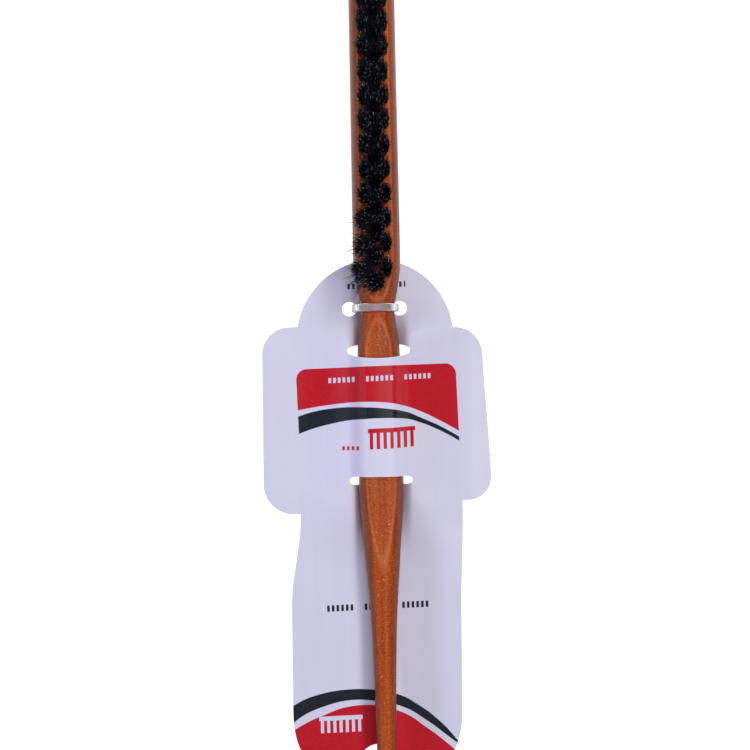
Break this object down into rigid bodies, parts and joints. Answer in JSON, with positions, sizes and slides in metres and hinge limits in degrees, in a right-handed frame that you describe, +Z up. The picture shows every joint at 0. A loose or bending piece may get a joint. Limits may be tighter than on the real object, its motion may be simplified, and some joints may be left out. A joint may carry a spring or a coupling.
{
  "type": "hair brush",
  "caption": "Slim wooden hair brush with three rows of dark bristle tufts, a waisted neck and a long tapered tail, threaded through a slotted hang card and tied to it.",
  "frame": {"origin": "under the middle of the whole object's box, on the surface that it lies on", "axes": "+Y along the brush axis towards the head, +Z up out of the bristle face, +X to the right when seen from above with the head away from the viewer"},
  "size_m": [0.0679, 0.2424, 0.0265],
  "materials": {
    "stained_wood": "satin",
    "bristle": "satin",
    "anchor_wire": "satin",
    "card_stock": "gloss",
    "nylon": "satin"
  },
  "bodies": {
    "brush": {"brush_body": "stained_wood", "tuft_left_01": "bristle", "tuft_left_02": "bristle", "tuft_left_03": "bristle", "tuft_left_04": "bristle", "tuft_left_05": "bristle", "tuft_left_06": "bristle", "tuft_left_07": "bristle", "tuft_left_08": "bristle", "tuft_left_09": "bristle", "tuft_left_10": "bristle", "tuft_left_11": "bristle", "tuft_left_12": "bristle", "tuft_middle_01": "bristle", "tuft_middle_02": "bristle", "tuft_middle_03": "bristle", "tuft_middle_04": "bristle", "tuft_middle_05": "bristle", "tuft_middle_06": "bristle", "tuft_middle_07": "bristle", "tuft_middle_08": "bristle", "tuft_middle_09": "bristle", "tuft_middle_10": "bristle", "tuft_middle_11": "bristle", "tuft_middle_12": "bristle", "tuft_middle_13": "bristle", "tuft_right_01": "bristle", "tuft_right_02": "bristle", "tuft_right_03": "bristle", "tuft_right_04": "bristle", "tuft_right_05": "bristle", "tuft_right_06": "bristle", "tuft_right_07": "bristle", "tuft_right_08": "bristle", "tuft_right_09": "bristle", "tuft_right_10": "bristle", "tuft_right_11": "bristle", "tuft_right_12": "bristle", "anchor_wires_left": "anchor_wire", "anchor_wires_middle": "anchor_wire", "anchor_wires_right": "anchor_wire"},
    "card": {"hang_card": "card_stock", "cable_tie": "nylon"}
  },
  "joints": [
    {"name": "card_slide", "type": "slide", "parent": "brush", "child": "card", "axis": [0, 1, 0], "range_m": [-0.003, 0.001]}
  ]
}
